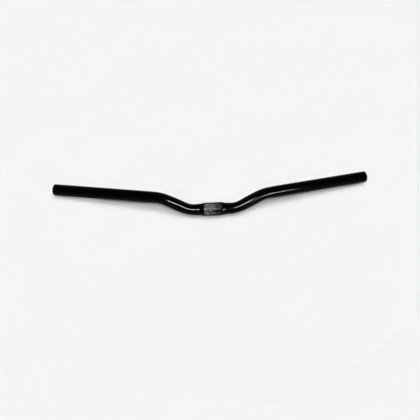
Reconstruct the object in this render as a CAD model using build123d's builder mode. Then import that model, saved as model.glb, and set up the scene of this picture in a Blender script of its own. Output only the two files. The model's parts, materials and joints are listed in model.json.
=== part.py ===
from build123d import *
from math import asin, atan2, cos, degrees, hypot, radians, sin, sqrt, tan
import os

# Riser handlebar: one aluminium tube, bulged where the stem clamps it and bent twice on each side.
# It lies on its rear side, as it comes to rest: the clamp and both ends touch the surface below.
# Origin at the middle of the clamp, +X along the clamp, +Y towards the rise, +Z up.
# Lengths are in millimetres and angles in degrees.

# Shape of the bar as it is ridden
overall_width = 620.0  # between the centres of the two cut ends
rise = 45.0  # end centres above the clamp axis
backsweep = 9.0  # grips turned towards the rider, seen from above
upsweep = 5.0  # grips turned up, seen from the front
riser_angle = 26.5  # slope of the risers, seen from the front
bend_radius = 60.0  # centreline of all four bends

# Tube
tube_diameter = 22.2
tube_wall = 2.2

# Bulge in the middle, where the wall is thicker
clamp_diameter = 25.4
clamp_wall = 2.8
clamp_length = 30.0
taper_length = 12.0
bend_lead = 5.0  # straight tube between the taper and the first bend

# Cut ends
end_rounding = 0.8
mouth_chamfer = 0.5

tube_radius = tube_diameter / 2
bore_radius = tube_radius - tube_wall
clamp_radius = clamp_diameter / 2
clamp_bore_radius = clamp_radius - clamp_wall

# Corners of the centreline. The riser line and the grip line cross at the upper corner.
half_width = overall_width / 2
clamp_end = clamp_length / 2
taper_end = clamp_end + taper_length
riser_slope = tan(radians(riser_angle))
grip_slope = tan(radians(upsweep))
lower_corner = taper_end + bend_lead + bend_radius * tan(radians(riser_angle / 2))
corner_rise = (rise - (half_width - lower_corner) * grip_slope) / (1 - grip_slope / riser_slope)
upper_corner = lower_corner + corner_rise / riser_slope
setback = (half_width - upper_corner) * tan(radians(backsweep))

# Tilt about X at which the lowest points of the end rims are level with the underside of the clamp
grip_direction = Vector(1, grip_slope, -tan(radians(backsweep))).normalized()
end_reach = hypot(rise, setback)
rest_tilt = atan2(setback, rise)
for _ in range(10):
    grip_fall = grip_direction.Y * sin(rest_tilt) + grip_direction.Z * cos(rest_tilt)
    rim_drop = (tube_radius - end_rounding) * sqrt(1 - grip_fall**2) + end_rounding * (1 + grip_fall)
    rest_tilt = atan2(setback, rise) + asin((rim_drop - clamp_radius) / end_reach)
laid_plane = Plane.XY.rotated((degrees(rest_tilt), 0, 0))


def taper(clamp_side_radius, tube_side_radius):
    """Smooth S from the clamp's radius to the tube's, level at both ends."""
    middle = (clamp_end + taper_end) / 2
    return Bezier(
        (clamp_end, clamp_side_radius),
        (middle, clamp_side_radius),
        (middle, tube_side_radius),
        (taper_end, tube_side_radius),
    )


with BuildPart() as handlebar:
    # Bulged middle: half of its wall section, mirrored and turned about the clamp axis
    with BuildSketch() as middle_section:
        with BuildLine():
            outside = taper(clamp_radius, tube_radius)
            inside = taper(clamp_bore_radius, bore_radius)
            Polyline(outside @ 0, (0, clamp_radius), (0, clamp_bore_radius), inside @ 0)
            Line(outside @ 1, inside @ 1)
        make_face()
        mirror(about=Plane.YZ)
    revolve(axis=Axis.X)

    # One side: riser and grip, swept along straight runs joined by tangent bends
    with BuildLine(laid_plane) as side_centreline:
        FilletPolyline(
            (taper_end, 0, 0),
            (lower_corner, 0, 0),
            (upper_corner, corner_rise, 0),
            (half_width, rise, -setback),
            radius=bend_radius,
        )
    with BuildSketch(Plane.YZ.offset(taper_end)) as tube_section:
        Circle(tube_radius)
        Circle(bore_radius, mode=Mode.SUBTRACT)
    side_tube = sweep(path=side_centreline.wire())
    mirror(side_tube, about=Plane.YZ)

    # Deburred ends: rounded outside, chamfered at the mouth of the bore
    for end_face in (handlebar.faces().sort_by(Axis.X)[0], handlebar.faces().sort_by(Axis.X)[-1]):
        rim, mouth = end_face.edges().sort_by(SortBy.LENGTH, reverse=True)
        fillet(rim, radius=end_rounding)
        chamfer(mouth, length=mouth_chamfer)

handlebar.part.label = "handlebar"
os.makedirs("parts", exist_ok=True)
export_step(handlebar.part, "parts/handlebar.step")
print("corner rise", round(corner_rise, 2), "upper corner", round(upper_corner, 2))
print("rest tilt", round(degrees(rest_tilt), 3), "setback", round(setback, 2))
print("volume", round(handlebar.part.volume), "box", handlebar.part.bounding_box())
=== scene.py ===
# %% [markdown]
# # A riser handlebar, dressed in Blender
# The bar is one aluminium tube. Its middle is bulged, a bender turns it twice on each side, the middle is
# knurled so that the stem can grip it, and then it is painted gloss black.
# The solid model is loaded first and stays where it is. Everything below is measured from it, in metres.

# %% Load the solid model
import json
from math import atan2, cos, degrees, hypot, pi, radians, sin, tan

import bpy
from mathutils import Matrix, Vector


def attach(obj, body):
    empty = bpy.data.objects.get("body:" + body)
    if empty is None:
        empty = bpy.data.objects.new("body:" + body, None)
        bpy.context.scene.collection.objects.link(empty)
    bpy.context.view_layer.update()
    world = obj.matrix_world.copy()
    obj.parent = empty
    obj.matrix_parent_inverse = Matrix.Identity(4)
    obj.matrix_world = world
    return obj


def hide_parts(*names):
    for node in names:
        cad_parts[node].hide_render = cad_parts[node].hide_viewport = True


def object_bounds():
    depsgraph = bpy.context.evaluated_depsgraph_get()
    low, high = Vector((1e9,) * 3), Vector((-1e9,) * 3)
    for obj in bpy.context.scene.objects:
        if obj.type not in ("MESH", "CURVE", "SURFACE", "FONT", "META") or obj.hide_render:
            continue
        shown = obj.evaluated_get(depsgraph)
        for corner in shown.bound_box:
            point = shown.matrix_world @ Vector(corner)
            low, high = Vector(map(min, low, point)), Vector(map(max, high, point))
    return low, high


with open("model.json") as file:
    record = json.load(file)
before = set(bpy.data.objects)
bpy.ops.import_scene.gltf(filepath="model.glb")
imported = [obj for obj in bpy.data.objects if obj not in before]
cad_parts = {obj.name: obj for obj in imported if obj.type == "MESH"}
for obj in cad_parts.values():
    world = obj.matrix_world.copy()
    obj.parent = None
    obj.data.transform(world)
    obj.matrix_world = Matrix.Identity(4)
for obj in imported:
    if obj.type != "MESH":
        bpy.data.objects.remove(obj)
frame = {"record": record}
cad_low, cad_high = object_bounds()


def rounded(point, digits=4):
    """A point as a short list of numbers, for printing."""
    return [round(number, digits) for number in point]


print("solid model from", rounded(cad_low), "to", rounded(cad_high))

# %% [markdown]
# ## Sizes
# The new skin has to lie on the solid bar. It could be traced from the solid's mesh, but that would only
# copy its facets. So its sizes are read from the record that was packed with it. The clamp, the grip runs
# and the bore are listed there as mounts, each with a place, an axis, a radius and a length.
# The sizes that no mount gives, such as the radius of the bends, are written here once.

# %% Read the mounts and name the other sizes
mm = 0.001
mounts = {mount["name"]: mount for mount in frame["record"]["mounts"]}
clamp, grip, bore = mounts["stem_clamp"], mounts["right_grip_seat"], mounts["right_end_bore"]

clamp_radius = clamp["dims"]["r_mm"] * mm
clamp_half = clamp["dims"]["length_mm"] * mm / 2
tube_radius = grip["dims"]["r_mm"] * mm
grip_length = grip["dims"]["length_mm"] * mm
bore_radius = bore["dims"]["r_mm"] * mm
bore_length = bore["dims"]["length_mm"] * mm

bend_radius = 60 * mm
riser_angle = radians(26.5)
taper_length = 12 * mm
clamp_wall = 2.8 * mm
end_rounding = 0.8 * mm
mouth_chamfer = grip_length + end_rounding - bore_length
print("tube radius", tube_radius, "clamp radius", clamp_radius, "mouth chamfer", round(mouth_chamfer, 5))

# %% [markdown]
# ## The line that the tube follows
# A bender's drawing gives straight runs that cross at corners, and a radius that rounds each corner. One
# side of this bar has three runs: along the clamp, up the riser, and out along the grip.
# The grip run is known from its mount. Where it crosses the riser depends on how far the tube turns there,
# and the turn depends on where they cross. A formula for that would be long, so a short loop lets the two
# settle.

# %% Work out the corners of one side
clamp_way = Vector((1, 0, 0))
grip_way = Vector(grip["axis"]).normalized()
grip_start = Vector(grip["pos_m"]) - grip_way * grip_length / 2
settling_rounds = 12

corner_run = 0.0
for _ in range(settling_rounds):
    upper_corner = grip_start - grip_way * corner_run
    rise_way = Vector((0, upper_corner.y, upper_corner.z)).normalized()
    riser_way = clamp_way * cos(riser_angle) + rise_way * sin(riser_angle)
    corner_run = bend_radius * tan(riser_way.angle(grip_way) / 2)

lower_corner = clamp_way * (upper_corner.x - upper_corner.dot(rise_way) / tan(riser_angle))
first_run = bend_radius * tan(riser_angle / 2)
first_bend = lower_corner.x - first_run
riser_length = (upper_corner - lower_corner).length - first_run - corner_run
print("first bend at", round(first_bend, 5), "riser run", round(riser_length, 5))
print("turns", round(degrees(riser_angle), 2), "and", round(degrees(riser_way.angle(grip_way)), 2), "degrees")

# %% [markdown]
# ## Tools for walking a ring along that line
# A curve with a round bevel would give a tube in one step, but not the bulge, the rounded rim or the rows of
# faces for the knurl. So the wall is drawn as the metal is worked: a ring of edges is extruded along a
# straight run, scaled where the diameter changes, and spun about a centre where the bender turns it.
# A small dictionary remembers where the ring is, which way it faces and how wide it is.

# %% Start a ring, move it and resize it
ring_points = 96


def start_ring(name, radius):
    """A circle of edges across the clamp axis, at the middle of the bar, open for extruding."""
    bpy.ops.object.select_all(action="DESELECT")
    bpy.ops.mesh.primitive_circle_add(vertices=ring_points, radius=radius, rotation=(0, pi / 2, 0))
    bpy.ops.object.transform_apply(location=True, rotation=True, scale=True)
    bpy.context.object.name = name
    bpy.ops.object.mode_set(mode="EDIT")
    bpy.ops.mesh.select_mode(type="EDGE")
    bpy.ops.mesh.select_all(action="SELECT")
    return {"place": Vector((0, 0, 0)), "way": clamp_way.copy(), "radius": radius}


def go_straight(ring, length, steps=1):
    """Extrudes the ring along its own way."""
    for _ in range(steps):
        step = ring["way"] * (length / steps)
        bpy.ops.mesh.extrude_region_move(TRANSFORM_OT_translate={"value": step})
        ring["place"] = ring["place"] + step


def resize(ring, radius):
    """Scales the ring about its own centre."""
    factor = radius / ring["radius"]
    bpy.ops.transform.resize(value=(factor, factor, factor), center_override=ring["place"])
    ring["radius"] = radius


print("a ring has", ring_points, "points,", round(2 * pi * tube_radius / ring_points, 5), "apart on the grip")

# %% [markdown]
# ## Bends
# A bender draws the tube round a die. Spin does the same with the ring, about the die's centre. The centre,
# the axis of the turn and its angle follow from the way before the bend and the way after it. A Curve
# modifier could bend a straight tube too, but a spin gives an exact arc.

# %% Turn a ring
bend_steps = 22


def bend_from(place, way, new_way):
    """The die's centre for a turn that starts at a place, the axis of the turn and its angle."""
    axis = way.cross(new_way).normalized()
    centre = place + axis.cross(way) * bend_radius
    return centre, axis, way.angle(new_way)


def go_bend(ring, new_way):
    """Spins the ring round the die's centre until it faces the new way. Spin counts turns clockwise."""
    centre, axis, turn = bend_from(ring["place"], ring["way"], new_way)
    bpy.ops.mesh.spin(steps=bend_steps, angle=-turn, center=centre, axis=axis)
    ring["place"] = centre + Matrix.Rotation(turn, 3, axis) @ (ring["place"] - centre)
    ring["way"] = new_way.copy()


print("the lower bend takes steps of", round(degrees(riser_angle) / bend_steps, 2), "degrees")

# %% [markdown]
# ## Tapers, and a whole side
# Between the bulge and the tube the diameter runs down in a smooth S that starts and ends level. A straight
# cone would be simpler, but its two creases would show in the gloss, so the S is a cubic curve with level
# handles.
# With that, one function can walk a wall from the clamp to the end of the grip, outside or inside.

# %% Taper a ring and take it along a side
taper_steps = 14
taper_handle = 0.5
riser_steps = 3
grip_steps = 12
least_step = 0.1 * mm


def taper_shape(t):
    """A point of the taper's S: how far along it is and how far down, as shares."""
    return 3 * taper_handle * t * (1 - t) + t**3, 3 * t**2 - 2 * t**3


def go_taper(ring, wide, narrow):
    """Down the taper, leaving out the steps that the ring has passed already."""
    for step in range(1, taper_steps + 1):
        along, down = taper_shape(step / taper_steps)
        ahead = clamp_half + taper_length * along - ring["place"].x
        if ahead > least_step:
            go_straight(ring, ahead)
            resize(ring, wide + (narrow - wide) * down)


def go_along_side(ring, wide, narrow, grip_run):
    """Over the taper and both bends to the end of the grip run."""
    go_taper(ring, wide, narrow)
    go_straight(ring, first_bend - ring["place"].x)
    go_bend(ring, riser_way)
    go_straight(ring, riser_length, riser_steps)
    go_bend(ring, grip_way)
    go_straight(ring, grip_run, grip_steps)


def ring_centre(piece):
    """The middle of what is selected, to compare with where the ring should be."""
    bpy.ops.object.mode_set(mode="OBJECT")
    chosen = [vertex.co for vertex in piece.data.vertices if vertex.select]
    bpy.ops.object.mode_set(mode="EDIT")
    return sum(chosen, Vector()) / len(chosen)


print("tapers end at", round(clamp_half + taper_length, 5), "and the first bend is at", round(first_bend, 5))

# %% [markdown]
# ## The outer wall
# The knurl covers the clamp and runs a little way onto the tapers. As bump alone it would look flat at its
# edges, so it gets faces of its own: the first rings are one knurl pitch apart and lie at the bottom of its
# grooves, and a short shoulder then brings the wall up to full size.
# The far end is cut off square and deburred. The rim is a quarter circle, made by stepping the ring along
# it, because a Bevel modifier would round the knurl's shoulders too.

# %% Walk the outer wall of the right side
knurl_half = 17.4 * mm
knurl_depth = 0.2 * mm
groove_radius = clamp_radius - knurl_depth
knurl_rows = round(knurl_half / (2 * pi * groove_radius / ring_points))
rim_steps = 6


def bulge_radius(x):
    """The clamp's radius, or a little less where x is already on the taper."""
    share = max(0, (x - clamp_half) / taper_length)
    steepest = 3 * taper_handle
    t = share
    for _ in range(settling_rounds):
        t += (share - taper_shape(t)[0]) / steepest
    return clamp_radius + (tube_radius - clamp_radius) * taper_shape(t)[1]


ring = start_ring("handlebar_tube", groove_radius)
tube = bpy.context.object
for _ in range(knurl_rows):
    go_straight(ring, knurl_half / knurl_rows)
    resize(ring, bulge_radius(ring["place"].x) - knurl_depth)
go_straight(ring, knurl_depth)
resize(ring, bulge_radius(ring["place"].x))
go_along_side(ring, clamp_radius, tube_radius, grip_length)

rim_start = ring["place"].copy()
for step in range(1, rim_steps + 1):
    angle = step / rim_steps * pi / 2
    go_straight(ring, (rim_start + grip_way * end_rounding * sin(angle) - ring["place"]).length)
    resize(ring, tube_radius - end_rounding * (1 - cos(angle)))
go_straight(ring, 0)
resize(ring, bore_radius + mouth_chamfer)
print("outer wall ends at", rounded(ring["place"]), "and its ring is at", rounded(ring_centre(tube)))
bpy.ops.object.mode_set(mode="OBJECT")

# %% [markdown]
# ## The bore
# The tube is drawn over a mandrel, so the hole inside follows the outside, with a thicker wall under the
# clamp. A Solidify modifier would give one thickness everywhere, so the bore is the same walk with smaller
# radii. It stays a separate mesh for now, so that it can have its own bare finish.

# %% Walk the bore of the right side
ring = start_ring("bore_wall", clamp_radius - clamp_wall)
bore_wall = bpy.context.object
go_straight(ring, clamp_half)
go_along_side(ring, clamp_radius - clamp_wall, bore_radius, bore_length)
print("bore ends at", rounded(ring["place"]), "and its ring is at", rounded(ring_centre(bore_wall)))
bpy.ops.object.mode_set(mode="OBJECT")

# %% [markdown]
# ## Half of the skin
# On the real bar the mouth is chamfered where the bore meets the end face. A boolean cut could make that,
# but it leaves long thin triangles. So the two walls get their material slots, are joined into one object,
# and are bridged at the mouth. They are also open at the middle of the bar, so only the open edges of the
# far end are chosen.

# %% Join the walls and bridge the mouth
black_finish = bpy.data.materials.new("gloss_black_paint")
bare_bore = bpy.data.materials.new("bare_bore")
knurl_finish = bpy.data.materials.new("rubbed_knurl")
for wall, finishes in ((tube, (black_finish, bare_bore, knurl_finish)), (bore_wall, (bare_bore,))):
    for finish in finishes:
        wall.data.materials.append(finish)


def select_only(*pieces):
    """Selects these objects and nothing else. The first one becomes the active object."""
    bpy.ops.object.select_all(action="DESELECT")
    for piece in pieces:
        piece.select_set(True)
    bpy.context.view_layer.objects.active = pieces[0]


select_only(tube, bore_wall)
bpy.ops.object.join()

mouth_place = grip_start + grip_way * grip_length
bpy.ops.object.mode_set(mode="EDIT")
bpy.ops.mesh.select_mode(type="EDGE")
bpy.ops.mesh.select_all(action="DESELECT")
bpy.ops.mesh.select_non_manifold(extend=False, use_wire=False, use_boundary=True)
bpy.ops.object.mode_set(mode="OBJECT")
for edge in tube.data.edges:
    edge.select = edge.select and tube.data.vertices[edge.vertices[0]].co.x > mouth_place.x / 2
print("rim edges to bridge", sum(edge.select for edge in tube.data.edges))
bpy.ops.object.mode_set(mode="EDIT")
bpy.ops.mesh.bridge_edge_loops()
bpy.ops.object.mode_set(mode="OBJECT")

# %% [markdown]
# ## Flattened bends
# A tube that is bent cold becomes a little oval: the wall on the outside of the bend is pulled in and the
# wall on the inside is pushed out, so the bend is thinner than the straight runs. Resize could squeeze each
# ring, but with no window it ignores a slanting axis, so the points are moved in code. Each point of a bend
# comes nearer to the middle line, along the line from the die's centre, and the change fades out on the
# straight runs beside the bend.

# %% Flatten the bends
bend_flattening = 0.07
flattened_run = 48 * mm


def flatten_bend(piece, place, way, new_way):
    """Draws the points in and near one bend towards the middle line, in the plane of the bend."""
    centre, axis, turn = bend_from(place, way, new_way)
    outward = (place - centre).normalized()
    moved = 0
    for vertex in piece.data.vertices:
        arm = vertex.co - centre
        turned = min(turn, max(0, atan2(arm.dot(way), arm.dot(outward))))
        turning = Matrix.Rotation(turned, 3, axis)
        here_outward, here_way = turning @ outward, turning @ way
        from_middle = (turned - turn / 2) * bend_radius + arm.dot(here_way)
        if abs(from_middle) < flattened_run / 2:
            pinch = bend_flattening * cos(pi * from_middle / flattened_run) ** 2
            vertex.co -= here_outward * (arm.dot(here_outward) - bend_radius) * pinch
            moved += 1
    return moved


second_bend = lower_corner + riser_way * (first_run + riser_length)
moved = flatten_bend(tube, clamp_way * first_bend, clamp_way, riser_way)
moved += flatten_bend(tube, second_bend, riser_way, grip_way)
print("points moved in the bends", moved)

# %% [markdown]
# ## The other half
# The left side of the bar mirrors the right side. Walking it again would work, but a Mirror modifier can't
# get out of step with the first half. A spin and a mirror can leave faces turned inwards, so doubles are
# merged and the normals are recalculated before anything else happens to the mesh.

# %% Mirror and close the skin
weld_distance = 0.01 * mm
bpy.ops.object.modifier_add(type="MIRROR")
tube.modifiers["Mirror"].use_axis = (True, False, False)
bpy.ops.object.modifier_apply(modifier="Mirror")

bpy.ops.object.mode_set(mode="EDIT")
bpy.ops.mesh.select_all(action="SELECT")
bpy.ops.mesh.remove_doubles(threshold=weld_distance)
bpy.ops.mesh.normals_make_consistent(inside=False)
bpy.ops.object.mode_set(mode="OBJECT")
print("closed skin has", len(tube.data.polygons), "faces")

# %% [markdown]
# ## The knurl
# A knurl is rolled into the bar by two hardened wheels, which leave two sets of slanting grooves and a
# diamond between them. Thousands of copied pyramids would be heavy and would not be part of the skin, so
# the diamonds are made from the square faces already there. Poking each square joins its corners to its
# middle, and dissolving the old sides leaves the same grid turned by an eighth of a turn.

# %% Turn the squares into diamonds
wall_middle = clamp_radius - clamp_wall / 2


def on_outer_band(point, half_width):
    """Whether a point is on the outside of the wall, within this distance from the middle of the bar."""
    return abs(point.x) < half_width and hypot(point.y, point.z) > wall_middle


def select_knurl_faces():
    """Selects the four-sided faces of the knurled band, ready for editing, and counts them."""
    bpy.ops.object.mode_set(mode="EDIT")
    bpy.ops.mesh.select_mode(type="FACE")
    bpy.ops.mesh.select_all(action="DESELECT")
    bpy.ops.object.mode_set(mode="OBJECT")
    for face in tube.data.polygons:
        face.select = len(face.vertices) == 4 and on_outer_band(face.center, knurl_half)
    chosen = sum(face.select for face in tube.data.polygons)
    bpy.ops.object.mode_set(mode="EDIT")
    return chosen


squares = select_knurl_faces()
old_points = len(tube.data.vertices)
bpy.ops.mesh.poke(offset=0)

bpy.ops.mesh.select_mode(type="EDGE")
bpy.ops.mesh.select_all(action="DESELECT")
bpy.ops.object.mode_set(mode="OBJECT")
for edge in tube.data.edges:
    start, end = (tube.data.vertices[index].co for index in edge.vertices)
    old_side = max(edge.vertices) < old_points
    edge.select = old_side and on_outer_band((start + end) / 2, knurl_half - weld_distance)
bpy.ops.object.mode_set(mode="EDIT")
bpy.ops.mesh.dissolve_edges(use_verts=False)
diamonds = select_knurl_faces()
print(squares, "squares became", diamonds, "diamonds")

# %% [markdown]
# ## Raised crests
# Each diamond stands proud of the grooves, with sloping sides and a small flat top that is level with the
# plain wall. A displacement map would need far more faces for that. Insetting every face by itself and
# raising it makes the sides and the top in one step. The band and its shoulders then take their own finish.

# %% Raise the diamonds
crest_inset = 0.17 * mm
finish_margin = 0.6 * mm
finish_half = knurl_half + finish_margin

bpy.ops.mesh.inset(thickness=crest_inset, depth=knurl_depth, use_individual=True)
bpy.ops.object.mode_set(mode="OBJECT")
knurl_slot = tube.data.materials.find(knurl_finish.name)
for face in tube.data.polygons:
    if on_outer_band(face.center, finish_half):
        face.material_index = knurl_slot
knurl_faces = sum(face.material_index == knurl_slot for face in tube.data.polygons)
print("the knurl's finish covers", knurl_faces, "faces")

# %% [markdown]
# ## Smooth shading
# A painted tube shows no facets, but its cut end and the diamonds have true edges. More faces would hide
# the facets slowly. Smooth shading by angle does it at once, and keeps every edge sharper than the limit.

# %% Smooth the tube and keep the cut edges sharp
sharp_angle = radians(28)
select_only(tube)
bpy.ops.object.shade_smooth_by_angle(angle=sharp_angle)
triangles = sum(len(face.vertices) - 2 for face in tube.data.polygons)
print("tube has", triangles, "triangles")

# %% [markdown]
# ## Tools for finishes
# Each finish is a small network of nodes that reads the object's own coordinates, so that it needs no image
# and stays put on the metal. The same few kinds of node come back in every finish, so each has a helper.

# %% Node helpers
def open_finish(finish):
    """The node tree of a new material, its main shader and the object's own coordinates."""
    finish.use_nodes = True
    tree = finish.node_tree
    shader = tree.nodes["Principled BSDF"]
    coordinates = tree.nodes.new("ShaderNodeTexCoord")
    return tree, shader, coordinates.outputs["Object"]


def add_noise(tree, place, scale, detail=3):
    """Noise in cells of about one over scale metres, read where place says."""
    noise = tree.nodes.new("ShaderNodeTexNoise")
    noise.inputs["Scale"].default_value = scale
    noise.inputs["Detail"].default_value = detail
    tree.links.new(place, noise.inputs["Vector"])
    return noise.outputs["Fac"]


def add_range(tree, value, low, high, to_low, to_high):
    """Stretches the part of value between low and high to the new limits."""
    stretch = tree.nodes.new("ShaderNodeMapRange")
    for socket, number in zip(("From Min", "From Max", "To Min", "To Max"), (low, high, to_low, to_high)):
        stretch.inputs[socket].default_value = number
    tree.links.new(value, stretch.inputs["Value"])
    return stretch.outputs["Result"]


def add_colours(tree, value, dark, light):
    """A colour between dark and light, chosen by value."""
    ramp = tree.nodes.new("ShaderNodeValToRGB")
    ramp.color_ramp.elements[0].color = dark
    ramp.color_ramp.elements[1].color = light
    tree.links.new(value, ramp.inputs["Fac"])
    return ramp.outputs["Color"]


def add_bump(tree, shader, height, strength, distance):
    """Bumps the shader's normal by a height texture."""
    bump = tree.nodes.new("ShaderNodeBump")
    bump.inputs["Strength"].default_value = strength
    bump.inputs["Distance"].default_value = distance
    tree.links.new(height, bump.inputs["Height"])
    tree.links.new(bump.outputs["Normal"], shader.inputs["Normal"])


print("finishes to make:", [finish.name for finish in tube.data.materials])

# %% [markdown]
# ## Gloss black paint
# The paint is almost pure black and smooth, so it shows lights as thin bright lines and little else. A plain
# black shader would do for that, with its specular level low, because the photograph's blacks stay black
# right to the edges of the tube.
# But sprayed paint is never quite flat. A fine orange peel in the bump, and faint cloudy changes in gloss,
# keep the lines from looking ruled.

# %% Paint
paint_black = (0.0005, 0.0005, 0.0006, 1)
paint_worn = (0.0016, 0.0016, 0.0018, 1)
paint_ior = 1.45
paint_specular = 0.03
cloud_scale = 45
cloud_range = (0.3, 0.7)
paint_roughness = (0.06, 0.11)
peel_scale = 650
peel_strength = 0.04
fine_height = 0.1 * mm

tree, shader, place = open_finish(black_finish)
shader.inputs["IOR"].default_value = paint_ior
shader.inputs["Specular IOR Level"].default_value = paint_specular
clouds = add_noise(tree, place, cloud_scale)
tree.links.new(add_colours(tree, clouds, paint_black, paint_worn), shader.inputs["Base Color"])
tree.links.new(add_range(tree, clouds, *cloud_range, *paint_roughness), shader.inputs["Roughness"])
peel = add_noise(tree, place, peel_scale, detail=1)
add_bump(tree, shader, peel, peel_strength, fine_height)
print("finished", black_finish.name)

# %% [markdown]
# ## Bare bore
# The paint is sprayed from outside, so only a mist of it reaches into the mouth, and the rest of the bore
# stays bare aluminium, dull and finely rough from the mandrel. A second material could end at an edge loop,
# but a mist has no edge. So the distance from the middle of the bar tells how deep a point is, and the
# colour fades from paint to metal over a short stretch behind the mouth.

# %% Bore
mist_depth = 14 * mm
bare_grey = (0.32, 0.32, 0.33, 1)
bore_roughness = 0.5
grain_scale = 900
grain_strength = 0.1


def add_math(tree, operation, *values):
    """A maths node fed with plain numbers or with the outputs of other nodes."""
    node = tree.nodes.new("ShaderNodeMath")
    node.operation = operation
    for socket, value in zip(node.inputs, values):
        if isinstance(value, (int, float)):
            socket.default_value = value
        else:
            tree.links.new(value, socket)
    return node.outputs["Value"]


def add_dot(tree, place, way):
    """How far a point lies along a way."""
    dot = tree.nodes.new("ShaderNodeVectorMath")
    dot.operation = "DOT_PRODUCT"
    dot.inputs[1].default_value = way
    tree.links.new(place, dot.inputs[0])
    return dot.outputs["Value"]


tree, shader, place = open_finish(bare_bore)
shader.inputs["Metallic"].default_value = 1.0
shader.inputs["Roughness"].default_value = bore_roughness
from_middle = add_math(tree, "ABSOLUTE", add_dot(tree, place, clamp_way))
mist = add_range(tree, from_middle, mouth_place.x - mist_depth, mouth_place.x, 1, 0)
tree.links.new(add_colours(tree, mist, paint_worn, bare_grey), shader.inputs["Base Color"])
add_bump(tree, shader, add_noise(tree, place, grain_scale), grain_strength, fine_height)
print("finished", bare_bore.name)

# %% [markdown]
# ## Where the knurl is rubbed, and where light is painted on it
# On the knurl the paint stays in the grooves and is rubbed off the crests, so from a step away the band
# looks a mottled dark grey. The wear could be painted by hand on an image. Here it is worked out from where
# a point lies, so that it stays sharp at any size.
# The upper side, which faces the camera and the lamps, shows the most grey. A bright line along its top is a
# painted highlight of the lamp near the camera. A fainter bright line runs lower down, and on the right there
# is a dark gap between them. A band is written as its middle and its half width, counted towards the back in
# clamp radii.
# Lengths along the bar are counted in half widths of the knurl.

# %% Bands of wear and painted highlight
upper_side = Vector((0, -0.36, 0.93)).normalized()
back_side = Vector((0, 0.93, 0.36)).normalized()
# The top line is a painted highlight: it lightens the crests where the lamp near the camera would glint on
# them.
highlight_line = (-0.02, 0.24)
lower_line = (-0.7, 0.14)
lower_line_share = 0.45
dark_gap = (-0.33, 0.24)
gap_start, gap_full = -0.1, 0.25


def add_band(tree, behind, band):
    """One along the middle of a band round the clamp, falling to zero at its edges."""
    middle, half_width = band
    away = add_math(tree, "ABSOLUTE", add_math(tree, "SUBTRACT", behind, middle))
    return add_range(tree, away, 0, half_width, 1, 0)


tree, shader, place = open_finish(knurl_finish)
along = add_dot(tree, place, clamp_way / knurl_half)
above = add_dot(tree, place, upper_side / clamp_radius)
behind = add_dot(tree, place, back_side / clamp_radius)
faint_line = add_math(tree, "MULTIPLY", add_band(tree, behind, lower_line), lower_line_share)
lines = add_math(tree, "MAXIMUM", add_band(tree, behind, highlight_line), faint_line)
right_part = add_range(tree, along, gap_start, gap_full, 0, 1)
gap = add_math(tree, "MULTIPLY", add_band(tree, behind, dark_gap), right_part)
print("bright line is", round(2 * highlight_line[1] * clamp_radius, 4), "wide")

# %% [markdown]
# ## Rubbed knurl, with painted shade and a painted highlight
# The distance from the clamp axis tells a groove from a crest. What is rubbed off a crest is then cut down
# by one share after another: away from the upper side, which is painted shade towards the grazing edges,
# towards the right, in patches of noise, off the bright lines, of which the top one is a painted highlight,
# near the lower edge, which is painted shade, and in the dark gap. Each share is written as where its change
# starts and ends, and how much is left at either end. Bare metal could be a second shader mixed in by the
# result, but at this size a colour ramp from paint to metal looks the same.

# %% Knurl
groove_black = (0.004, 0.004, 0.0045, 1)
crest_grey = (0.86, 0.86, 0.89, 1)
knurl_roughness = 0.3
knurl_specular = 0.006
patch_scale = 270
# The upper share is painted shade: the crests darken towards the edges that face away from the camera.
side_shade_share = (0.54, 0.66, 0.06, 1)
right_share = (-0.4, 0.8, 1, 0.13)
patch_share = (0.36, 0.58, 0.22, 1)
line_share = (0, 1, 0.45, 1)
# The edge share is painted shade: the crests go black along the lower edge, next to the floor.
lower_edge_shade_share = (-0.9, -0.78, 0.06, 1)
gap_share = (0, 0.6, 1, 0.02)

shader.inputs["Roughness"].default_value = knurl_roughness
shader.inputs["Specular IOR Level"].default_value = knurl_specular
above_squared = add_math(tree, "POWER", above, 2)
behind_squared = add_math(tree, "POWER", behind, 2)
from_axis = add_math(tree, "SQRT", add_math(tree, "ADD", above_squared, behind_squared))
patches = add_noise(tree, place, patch_scale, detail=2)

rubbed = add_range(tree, from_axis, groove_radius / clamp_radius, 1, 0, 1)
for value, share in (
    (above, side_shade_share),
    (along, right_share),
    (patches, patch_share),
    (lines, line_share),
    (behind, lower_edge_shade_share),
    (gap, gap_share),
):
    rubbed = add_math(tree, "MULTIPLY", rubbed, add_range(tree, value, *share))
tree.links.new(add_colours(tree, rubbed, groove_black, crest_grey), shader.inputs["Base Color"])
print("finished", knurl_finish.name)

# %% [markdown]
# ## Floor
# The bar lies on a pale sheet that fills the photograph. A studio sweep would curve up behind it, but the
# view looks steeply down, so one large flat plane will do. The paper has no gloss, so it shows nothing of
# the bar but its soft shadow.

# %% Lay the sheet
sheet_tone = 0.913
sheet_size = 8.0
bpy.ops.object.select_all(action="DESELECT")
bpy.ops.mesh.primitive_plane_add(size=sheet_size, location=(0, 0, cad_low.z))
floor = bpy.context.object
floor.name = "floor"
paper = bpy.data.materials.new("pale_sheet")
paper.use_nodes = True
paper_inputs = paper.node_tree.nodes["Principled BSDF"].inputs
paper_inputs["Base Color"].default_value = (sheet_tone, sheet_tone, sheet_tone, 1)
paper_inputs["Roughness"].default_value = 1.0
paper_inputs["Specular IOR Level"].default_value = 0.0
floor.data.materials.append(paper)
print("floor at", round(cad_low.z, 5))

# %% [markdown]
# ## Backdrop
# Past the sheet the camera sees the same pale tone. A world of one plain colour would do for that, but it
# would turn the whole gloss of the tube grey. So mirrored rays see a pale wall near the horizon and a dark
# ceiling above it, and the world gives the sheet only a little light of its own.

# %% Make the backdrop
white = (1, 1, 1, 1)
ambient_strength = 0.03
ceiling_tone = 0.01
wall_top = sin(radians(12))
ceiling_start = sin(radians(34))

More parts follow.
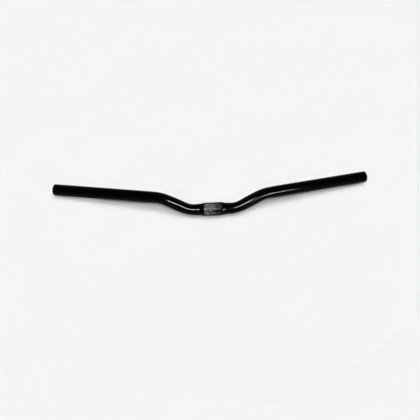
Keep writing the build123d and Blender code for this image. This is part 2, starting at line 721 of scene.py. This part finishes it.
world = bpy.data.worlds.new("backdrop")
bpy.context.scene.world = world
world.use_nodes = True
tree = world.node_tree
ambient = tree.nodes["Background"]
ambient.inputs["Color"].default_value = white
ambient.inputs["Strength"].default_value = ambient_strength
backdrop = tree.nodes.new("ShaderNodeBackground")
backdrop.inputs["Color"].default_value = white
sky = tree.nodes.new("ShaderNodeTexCoord")
rays = tree.nodes.new("ShaderNodeLightPath").outputs
sine_up = add_dot(tree, sky.outputs["Generated"], Vector((0, 0, 1)))
mirrored_tone = add_range(tree, sine_up, wall_top, ceiling_start, sheet_tone, ceiling_tone)
seen_tone = add_math(tree, "MULTIPLY", rays["Is Camera Ray"], sheet_tone)
tree.links.new(add_math(tree, "MAXIMUM", mirrored_tone, seen_tone), backdrop.inputs["Strength"])
seen = add_math(tree, "MAXIMUM", rays["Is Camera Ray"], rays["Is Glossy Ray"])
seen = add_math(tree, "MAXIMUM", seen, rays["Is Transmission Ray"])
mix = tree.nodes.new("ShaderNodeMixShader")
tree.links.new(seen, mix.inputs["Fac"])
tree.links.new(ambient.outputs["Background"], mix.inputs[1])
tree.links.new(backdrop.outputs["Background"], mix.inputs[2])
tree.links.new(mix.outputs["Shader"], tree.nodes["World Output"].inputs["Surface"])
print("backdrop", world.name, "gives", ambient_strength, "of the light")

# %% [markdown]
# ## Soft lights
# Two softboxes that stand a little behind the bar let its shadow fall softly towards the camera, and a fill
# from the front keeps that shadow pale. Area lamps would light the middle of the sheet more than its
# corners. Sun lamps with a wide angle give the same light all over. Their shares and the world's add up to
# one, so that the sheet renders in its own tone.

# %% Stand the soft lights
back_share = 0.255
top_share = 0.235
fill_share = 1 - back_share - top_share - ambient_strength
back_lean = radians(16)
top_lean = radians(8)
front_lean = radians(-15)
softbox_side = radians(6)
softbox_spread = radians(24)
fill_spread = radians(12)


def add_soft_light(name, lean, side, spread, share):
    """Gives the sheet this share of its light, from a patch that leans to the back and to the right."""
    place = Vector((sin(side) * cos(lean), sin(lean), cos(side) * cos(lean)))
    bpy.ops.object.light_add(type="SUN", location=place, rotation=place.to_track_quat("Z", "Y").to_euler())
    light = bpy.context.object
    light.name = name
    light.data.angle = spread
    light.data.energy = share * pi / place.z
    light.visible_glossy = False
    print(name, "stands towards", rounded(place, 3), "strength", round(light.data.energy, 3))


add_soft_light("back_softbox", back_lean, softbox_side, softbox_spread, back_share)
add_soft_light("top_softbox", top_lean, softbox_side, softbox_spread, top_share)
add_soft_light("front_fill", front_lean, 0, fill_spread, fill_share)

# %% [markdown]
# ## Camera
# The photograph looks down steeply, a little from the left, and is turned slightly in its frame. The bar's
# outline fits a distance of about 0.8 m. A camera could be pulled into place by eye. Here its angles are
# written down, and the lens follows from how many of the photograph's pixels a metre fills at the clamp.

# %% Place the camera
camera_azimuth = radians(5.16)
camera_elevation = radians(69.12)
camera_roll = radians(2.28)
camera_distance = 0.8
sensor_width = 36
frame_pixels = 420
pixels_per_metre = 513.3
middle_pixel = Vector((213.1, 208.9))

forward = Vector((
    sin(camera_azimuth) * cos(camera_elevation),
    cos(camera_azimuth) * cos(camera_elevation),
    -sin(camera_elevation),
))
level_right = Vector((cos(camera_azimuth), -sin(camera_azimuth), 0))
level_up = level_right.cross(forward)
right = level_right * cos(camera_roll) + level_up * sin(camera_roll)
up = level_up * cos(camera_roll) - level_right * sin(camera_roll)

off_centre = middle_pixel - Vector((frame_pixels / 2, frame_pixels / 2))
camera_place = -forward * camera_distance
camera_place += (up * off_centre.y - right * off_centre.x) / pixels_per_metre
bpy.ops.object.camera_add(location=camera_place)
camera = bpy.context.object
camera.matrix_world = Matrix.Translation(camera_place) @ Matrix((right, up, -forward)).transposed().to_4x4()
camera.data.sensor_width = sensor_width
camera.data.lens = sensor_width * pixels_per_metre * camera_distance / frame_pixels
bpy.context.scene.camera = camera
bpy.context.scene.view_settings.view_transform = "Standard"
print("camera at", rounded(camera_place), "lens", round(camera.data.lens, 2))

# %% [markdown]
# ## Lamps for the bright lines
# A mirror-smooth tube shows a lamp where its skin lies halfway between the lamp and the camera. Lines that
# were painted on would stay put in every other view, so two real lamps make them. They are there for the
# gloss alone and don't light the sheet.
# The thin line on the risers runs along the middle of the tube, so its lamp stands close to the line of
# sight. The line on the right bend and grip lies lower on the tube, so its lamp stands in front, to the
# right. It is an ellipse, because that line thins out towards its ends.

# %% Stand the line lamps
lamp_height = 0.04
sight_distance = 0.48
sight_right = 0.019
sight_up = 0.008
sight_place = -forward * sight_distance + right * sight_right + up * sight_up
sight_width = 0.085
sight_glow = 850
cool_white = (0.95, 0.94, 1.0)
front_place = Vector((0.416, -0.581, 0.585))
front_width = 0.48
front_glow = 1150
plain_white = (1.0, 1.0, 1.0)


def add_line_lamp(name, shape, place, width, glow, colour):
    """A flat lamp that faces the clamp. Its glow is the brightness of its face."""
    bpy.ops.object.light_add(type="AREA", location=place)
    lamp = bpy.context.object
    lamp.name = name
    lamp.rotation_euler = (-place).to_track_quat("-Z", "Y").to_euler()
    lamp.data.shape = shape
    lamp.data.size = width
    lamp.data.size_y = lamp_height
    face_area = width * lamp_height * (pi / 4 if shape == "ELLIPSE" else 1)
    lamp.data.energy = glow * pi * face_area
    lamp.data.color = colour
    lamp.visible_camera = False
    lamp.visible_diffuse = False
    print(name, "at", rounded(place, 3), "power", round(lamp.data.energy, 2))


add_line_lamp("sight_lamp", "RECTANGLE", sight_place, sight_width, sight_glow, cool_white)
add_line_lamp("front_lamp", "ELLIPSE", front_place, front_width, front_glow, plain_white)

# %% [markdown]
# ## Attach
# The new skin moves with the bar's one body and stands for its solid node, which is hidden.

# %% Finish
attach(tube, "root")
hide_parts("handlebar")
